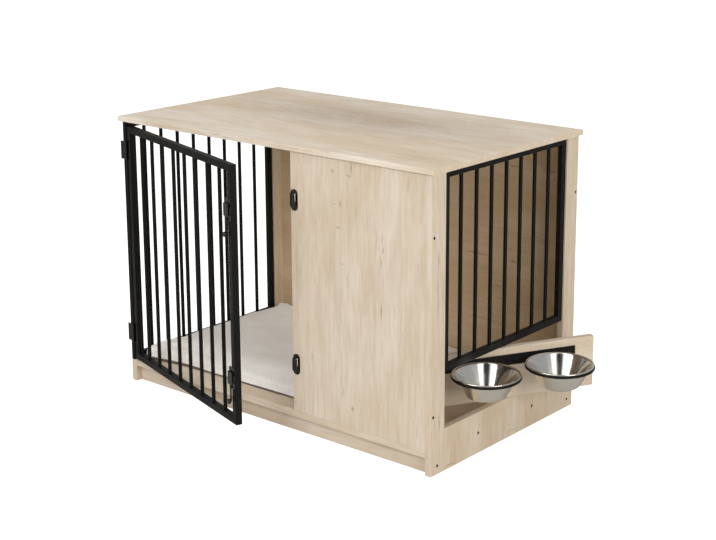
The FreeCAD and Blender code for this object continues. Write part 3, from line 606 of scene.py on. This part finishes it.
def make_bowl(name, node):
    """A disc whose outer ring is extruded, moved up and widened once for each step."""
    across, back, rim = middle_of(node)
    deselect()
    radius, depth = bowl_steps[0]
    bpy.ops.mesh.primitive_circle_add(vertices=bowl_segments, radius=radius, fill_type="TRIFAN",
                                      location=(across, back, rim - depth))
    made = bpy.context.object
    made.name = name
    bpy.ops.object.transform_apply(location=True, rotation=True, scale=True)
    bpy.ops.object.mode_set(mode="EDIT")
    bpy.ops.mesh.select_mode(type="EDGE")
    bpy.ops.mesh.select_all(action="DESELECT")
    bpy.ops.mesh.select_non_manifold()
    for next_radius, next_depth in bowl_steps[1:] + rim_roll:
        lift = depth - next_depth
        bpy.ops.mesh.extrude_edges_move(TRANSFORM_OT_translate={"value": (0, 0, lift)})
        grow = next_radius / radius
        bpy.ops.transform.resize(value=(grow, grow, 1), center_override=(across, back, rim - next_depth))
        radius, depth = next_radius, next_depth
    bpy.ops.object.mode_set(mode="OBJECT")
    return made


front_bowl = make_bowl("front_bowl_polished", "front_bowl")
print("bowl sheet:", len(front_bowl.data.polygons), "faces")

# %% [markdown]
# Solidify gives the sheet its thickness on the outside, and one level of subdivision rounds the rim. The
# sheet's normals point up and inwards, so the wall grows away from the food. The second bowl is a copy
# with its own mesh, moved over to the other ring.

# %% The bowls' wall and the second bowl
def apply_modifiers(piece, *settings):
    """Adds each (kind, values) modifier in turn and applies it."""
    deselect()
    piece.select_set(True)
    bpy.context.view_layer.objects.active = piece
    for kind, values in settings:
        modifier = piece.modifiers.new(kind.lower(), kind)
        for key, value in values.items():
            setattr(modifier, key, value)
        bpy.ops.object.modifier_apply(modifier=modifier.name)


def smooth(piece):
    deselect()
    piece.select_set(True)
    bpy.context.view_layer.objects.active = piece
    bpy.ops.object.shade_smooth()


apply_modifiers(
    front_bowl,
    ("SOLIDIFY", {"thickness": bowl_wall, "offset": -1.0, "use_quality_normals": True}),
    ("SUBSURF", {"levels": 1, "render_levels": 1}),
)
smooth(front_bowl)
rear_bowl = front_bowl.copy()
rear_bowl.name = "rear_bowl_polished"
rear_bowl.data = front_bowl.data.copy()
bpy.context.scene.collection.objects.link(rear_bowl)
rear_bowl.location = Vector(middle_of("rear_bowl")) - Vector(middle_of("front_bowl"))
deselect()
rear_bowl.select_set(True)
bpy.context.view_layer.objects.active = rear_bowl
bpy.ops.object.transform_apply(location=True, rotation=True, scale=True)
for bowl, body in ((front_bowl, "front_bowl"), (rear_bowl, "rear_bowl")):
    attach(bowl, body)
    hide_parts(body)
print("bowls:", len(front_bowl.data.polygons), "faces each")

# %% [markdown]
# ## Polished steel
# Spun and polished steel mirrors its room, but fine turning marks run round the bowl, so a bright spot
# smears up and down the wall. The marks are noise that is stretched round the bowl's own axis: it reads
# the distance from the axis and the height, and ignores the way round.

# %% Polished steel
turning_scale = 2600.0
smudge_scale = 38.0
steel_tint = colour(226, 224, 219)


def polished_steel(name, node):
    made, tree, shader, place = material(name)
    across, back, rim = middle_of(node)
    centred = add(tree, "Mapping", {"Vector": place, "Location": (-across, -back, -rim)}).outputs[0]
    split = add(tree, "SeparateXYZ", {0: centred}).outputs
    flat = add(tree, "CombineXYZ", {0: split[0], 1: split[1]}).outputs[0]
    radius = add(tree, "VectorMath", {0: flat}, operation="LENGTH").outputs["Value"]
    rings = add(tree, "CombineXYZ", {0: radius, 1: split[2]}).outputs[0]
    marks = add(tree, "TexNoise", {"Vector": rings, "Scale": turning_scale, "Detail": 3.0}).outputs["Fac"]
    smudges = add(tree, "TexNoise", {"Vector": centred, "Scale": smudge_scale, "Detail": 3.0}).outputs["Fac"]
    shader.inputs["Base Color"].default_value = steel_tint
    shader.inputs["Metallic"].default_value = 1.0
    tree.links.new(remap(tree, smudges, 0.3, 0.7, 0.11, 0.19), shader.inputs["Roughness"])
    bump(tree, marks, 0.06, 0.0002, shader)
    return made


for bowl in (front_bowl, rear_bowl):
    node = bowl.name.removesuffix("_polished")
    bowl.data.materials.clear()
    bowl.data.materials.append(polished_steel("polished_" + node, node))
    finish_node(node, bowl.data.materials[0])
print("polished:", front_bowl.name, rear_bowl.name)

# %% [markdown]
# ## The pad
# The mat in the crate is a fleece cover over loose filling. Its shape comes from the filling pressing
# outwards, which is just what a cloth simulation does: a copy of the frame's pad is made a little smaller,
# remeshed into even faces and blown up from inside, with its underside held on the floor. No point may
# travel further than 9 mm, so the mat stays clear of the grille and the boards.

# %% The pad's cover
pad_draw_in = 0.003
pad_voxel = 0.006
pad_pressure = 4.0
pad_travel = 0.009
weld_distance = 0.00005
floor_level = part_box("pad")[0][2]

deselect()
pad = nodes["pad"].copy()
pad.data = nodes["pad"].data.copy()
pad.name = "fleece_pad"
bpy.context.scene.collection.objects.link(pad)
pad.select_set(True)
bpy.context.view_layer.objects.active = pad
bpy.ops.object.mode_set(mode="EDIT")
bpy.ops.mesh.select_all(action="SELECT")
bpy.ops.mesh.remove_doubles(threshold=weld_distance)
bpy.ops.mesh.normals_make_consistent(inside=False)
bpy.ops.transform.shrink_fatten(value=-pad_draw_in)
bpy.ops.transform.translate(value=(0, 0, -pad_draw_in))
bpy.ops.object.mode_set(mode="OBJECT")
apply_modifiers(pad, ("REMESH", {"mode": "VOXEL", "voxel_size": pad_voxel}))
print("pad before filling:", len(pad.data.vertices), "points")

# %% The pad's filling
filling_steps = 20
held_height = 0.002
held = pad.vertex_groups.new(name="underside")
lowest = min(vertex.co.z for vertex in pad.data.vertices)
held.add([v.index for v in pad.data.vertices if v.co.z < lowest + held_height], 1.0, "REPLACE")
start = [vertex.co.copy() for vertex in pad.data.vertices]
filling = pad.modifiers.new("filling", "CLOTH")
for key, value in (("quality", 6), ("mass", 0.3), ("tension_stiffness", 12), ("compression_stiffness", 12),
                   ("bending_stiffness", 2.0), ("use_pressure", True),
                   ("uniform_pressure_force", pad_pressure), ("vertex_group_mass", held.name)):
    setattr(filling.settings, key, value)
filling.settings.effector_weights.gravity = 0
filling.point_cache.frame_start = 1
filling.point_cache.frame_end = filling_steps
last_step = filling_steps
for frame_number in range(1, last_step + 1):
    bpy.context.scene.frame_set(frame_number)
bpy.ops.object.modifier_apply(modifier=filling.name)
bpy.context.scene.frame_set(1)
moved = 0.0
for vertex, before in zip(pad.data.vertices, start):
    travel = vertex.co - before
    if travel.length > pad_travel:
        vertex.co = before + travel * (pad_travel / travel.length)
    vertex.co.z = max(vertex.co.z, floor_level)
    moved = max(moved, (vertex.co - before).length)
print("pad filled: points moved up to %.1f mm" % (moved * 1000))

# %% [markdown]
# Filling is never quite even, so broad, low waves are added after the simulation. A seam joins the fleece
# to the base fabric just above the floor: the points at that height are drawn in by a millimetre.
# The front corner at the left is pulled forward and rides up a little.

# %% The pad's waves and seam
seam_level = floor_level + 0.0045
seam_half_height = 0.0025
corner_reach = 0.14
corner_pull = Vector((-0.004, -0.028, 0.004))
corner_falloff = 1.5
seam_depth = 0.0012
fleece_rise = 0.015
wave_size, wave_height = 0.085, 0.005
apply_modifiers(pad, ("SUBSURF", {"levels": 1, "render_levels": 1}))
waves = bpy.data.textures.new("filling_waves", "CLOUDS")
waves.noise_scale = wave_size
loose = pad.vertex_groups.new(name="fleece")
for vertex in pad.data.vertices:
    share = min(1.0, max(0.0, (vertex.co.z - seam_level) / fleece_rise))
    loose.add([vertex.index], share, "REPLACE")
apply_modifiers(pad, ("DISPLACE", {"texture": waves, "strength": wave_height, "mid_level": 0.5,
                                   "vertex_group": loose.name, "texture_coords": "LOCAL"}))
for vertex in pad.data.vertices:
    off = abs(vertex.co.z - seam_level) / seam_half_height
    if off < 1.0:
        vertex.co -= vertex.normal * seam_depth * (1.0 - off)
low_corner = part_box("pad")[0]
for vertex in pad.data.vertices:
    from_side = max(0.0, 1.0 - (vertex.co.x - low_corner[0]) / corner_reach)
    from_front = max(0.0, 1.0 - (vertex.co.y - low_corner[1]) / corner_reach)
    vertex.co += corner_pull * min(1.0, from_side * from_front) ** corner_falloff
pad.vertex_groups.clear()
smooth(pad)
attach(pad, "pad")
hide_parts("pad")
print("pad:", len(pad.data.polygons), "faces")

# %% [markdown]
# ## Fleece
# Short fleece is a warm white with a soft edge glow, tiny tufts and faint greyish patches where the pile
# lies another way. Below the seam the cover is a dark taupe base fabric, whose colour also paints the contact
# shadow under the fleece's bulge, and more of it shows at the left end.

# %% Fleece
tuft_scale, nap_scale = 420.0, 11.0
fleece_white, fleece_shade = colour(252, 250, 246), colour(240, 236, 231)
tuft_grey, base_and_shadow_taupe = colour(212, 207, 200), colour(92, 80, 72)
base_and_shadow_lift, base_and_shadow_lift_reach = 0.0045, 0.25

fleece, tree, shader, place = material("white_fleece")
tufts = add(tree, "TexNoise", {"Vector": place, "Scale": tuft_scale, "Detail": 3.0}).outputs["Fac"]
nap = add(tree, "TexNoise", {"Vector": place, "Scale": nap_scale, "Detail": 4.0}).outputs["Fac"]
split = add(tree, "SeparateXYZ", {0: place}).outputs
brushed = mix_colours(tree, remap(tree, nap, 0.35, 0.7), fleece_white, fleece_shade)
tufted = mix_colours(tree, remap(tree, tufts, 0.55, 0.25, 0.0, 0.5), brushed, tuft_grey)
lifted = remap(tree, split[0], low_corner[0], low_corner[0] + base_and_shadow_lift_reach, base_and_shadow_lift, 0.0)
height = math_node(tree, "SUBTRACT", split[2], lifted)
# The dark band below the seam is the base fabric's colour and a painted contact shadow together.
base_and_shadow_mask = remap(tree, height, seam_level, seam_level - 0.001)
covered = mix_colours(tree, base_and_shadow_mask, tufted, base_and_shadow_taupe)
tree.links.new(covered, shader.inputs["Base Color"])
tree.links.new(remap(tree, tufts, 0.2, 0.8, 0.85, 1.0), shader.inputs["Roughness"])
shader.inputs["Sheen Weight"].default_value = 0.7
shader.inputs["Sheen Roughness"].default_value = 0.5
shader.inputs["Specular IOR Level"].default_value = 0.15
bump(tree, tufts, 0.6, 0.0015, shader)
pad.data.materials.clear()
pad.data.materials.append(fleece)
finish_node("pad", fleece)
print("cover:", fleece.name)
